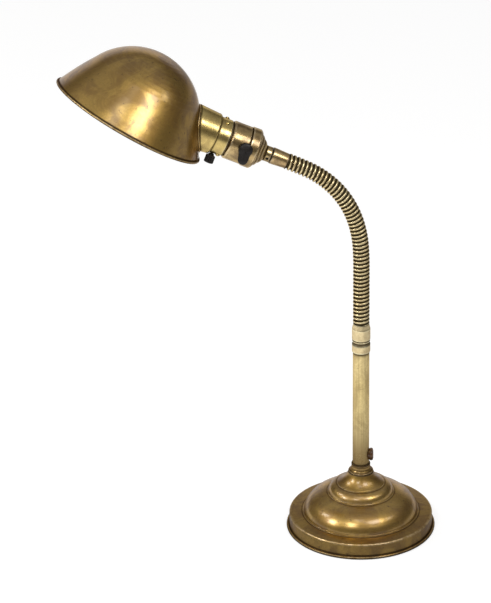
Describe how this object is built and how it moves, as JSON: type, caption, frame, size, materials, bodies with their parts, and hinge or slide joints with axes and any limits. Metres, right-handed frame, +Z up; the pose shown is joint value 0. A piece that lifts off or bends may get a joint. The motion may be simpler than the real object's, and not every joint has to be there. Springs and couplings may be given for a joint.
{
  "type": "gooseneck desk lamp",
  "caption": "Desk lamp with a weighted round foot, straight stem, flexible gooseneck, switched bayonet lampholder and a half-bowl shade that turns on it.",
  "frame": {"origin": "centre of the foot's underside, on the table", "axes": "+Z up along the stem, -X the way the neck bends over, -Y the side of the switch lever"},
  "size_m": [0.358, 0.1505, 0.5063],
  "materials": {
    "aged_brass": "aged, mottled",
    "brass": "satin",
    "neck_brass": "satin, dark in the grooves",
    "iron": "rough cast",
    "steel": "dull",
    "baize": "felted",
    "black_moulding": "moulded, slightly worn",
    "brown_moulding": "moulded, slightly worn",
    "moulded_block": "unglazed"
  },
  "bodies": {
    "base": {"baize_pad": "baize", "base_plate": "steel", "base_weight": "iron", "base_shell": "aged_brass", "base_washer": "steel", "base_nut": "steel", "stem_collar": "brass", "stem_tube": "brass", "cord_bush": "brown_moulding", "stem_coupling": "brass", "neck_foot": "brass"},
    "neck_01": {"neck_length_01": "neck_brass"},
    "neck_02": {"neck_length_02": "neck_brass"},
    "neck_03": {"neck_length_03": "neck_brass"},
    "neck_04": {"neck_length_04": "neck_brass"},
    "neck_05": {"neck_length_05": "neck_brass"},
    "neck_06": {"neck_length_06": "neck_brass"},
    "neck_07": {"neck_length_07": "neck_brass"},
    "neck_08": {"neck_length_08": "neck_brass"},
    "neck_09": {"neck_length_09": "neck_brass"},
    "neck_10": {"neck_length_10": "neck_brass"},
    "holder": {"neck_head": "brass", "holder_cap": "brass", "cap_grub_screw": "steel", "holder_body": "brass", "holder_skirt": "brass", "holder_barrel": "brass", "contact_block": "moulded_block", "terminal_screws": "brass"},
    "plunger_upper": {"plunger_upper": "brass"},
    "plunger_lower": {"plunger_lower": "brass"},
    "switch_lever": {"switch_lever": "black_moulding", "switch_spindle": "brass"},
    "shade_carrier": {"gallery_ring": "brass", "gallery_screws": "brass", "gallery_drum": "brass", "shade_flange": "brass", "shade": "aged_brass"},
    "thumb_screw": {"thumb_screw": "black_moulding"}
  },
  "joints": [
    {"name": "neck_bend_01", "type": "hinge", "parent": "base", "child": "neck_01", "pos_m": [0, 0, 0.2202], "axis": [0, -1, 0], "range_deg": [-8.6, 8.6]},
    {"name": "neck_side_02", "type": "hinge", "parent": "neck_01", "child": "neck_02", "pos_m": [0, 0, 0.2403], "axis": [1, 0, 0], "range_deg": [-8.6, 8.6]},
    {"name": "neck_bend_03", "type": "hinge", "parent": "neck_02", "child": "neck_03", "pos_m": [0, 0, 0.2604], "axis": [0, -1, 0], "range_deg": [-8.6, 8.6]},
    {"name": "neck_side_04", "type": "hinge", "parent": "neck_03", "child": "neck_04", "pos_m": [0, 0, 0.2805], "axis": [1, 0, 0], "range_deg": [-8.6, 8.6]},
    {"name": "neck_bend_05", "type": "hinge", "parent": "neck_04", "child": "neck_05", "pos_m": [-0.0007, 0, 0.30058], "axis": [0, -1, 0], "range_deg": [-8.6, 8.6]},
    {"name": "neck_side_06", "type": "hinge", "parent": "neck_05", "child": "neck_06", "pos_m": [-0.00372, 0, 0.32043], "axis": [0.9732, 0, 0.23], "range_deg": [-8.6, 8.6]},
    {"name": "neck_bend_07", "type": "hinge", "parent": "neck_06", "child": "neck_07", "pos_m": [-0.01021, 0, 0.33942], "axis": [0, -1, 0], "range_deg": [-8.6, 8.6]},
    {"name": "neck_side_08", "type": "hinge", "parent": "neck_07", "child": "neck_08", "pos_m": [-0.02049, 0, 0.35664], "axis": [0.7955, 0, 0.606], "range_deg": [-8.6, 8.6]},
    {"name": "neck_bend_09", "type": "hinge", "parent": "neck_08", "child": "neck_09", "pos_m": [-0.03436, 0, 0.37113], "axis": [0, -1, 0], "range_deg": [-8.6, 8.6]},
    {"name": "neck_side_10", "type": "hinge", "parent": "neck_09", "child": "neck_10", "pos_m": [-0.05113, 0, 0.38213], "axis": [0.4493, 0, 0.8934], "range_deg": [-8.6, 8.6]},
    {"name": "neck_bend_11", "type": "hinge", "parent": "neck_10", "child": "holder", "pos_m": [-0.06936, 0, 0.3906], "axis": [0, -1, 0], "range_deg": [-8.6, 8.6]},
    {"name": "switch_lever_turn", "type": "hinge", "parent": "holder", "child": "switch_lever", "pos_m": [-0.11119, 0, 0.40849], "axis": [0.0884, -0.9744, 0.2068], "range_deg": [0, 50]},
    {"name": "plunger_upper_press", "type": "slide", "parent": "holder", "child": "plunger_upper", "axis": [0.9195, 0, -0.3931], "range_m": [0, 0.0025], "stiffness_N_per_m": 1200, "springref_m": -0.001},
    {"name": "plunger_lower_press", "type": "slide", "parent": "holder", "child": "plunger_lower", "axis": [0.9195, 0, -0.3931], "range_m": [0, 0.0025], "stiffness_N_per_m": 1200, "springref_m": -0.001},
    {"name": "shade_swivel", "type": "hinge", "parent": "holder", "child": "shade_carrier", "pos_m": [-0.13151, 0, 0.41718], "axis": [-0.9195, 0, 0.3931], "continuous": true},
    {"name": "thumb_screw_turn", "type": "hinge", "parent": "shade_carrier", "child": "thumb_screw", "pos_m": [-0.14194, -0.00618, 0.40094], "axis": [-0.3739, -0.309, -0.8745], "continuous": true}
  ]
}
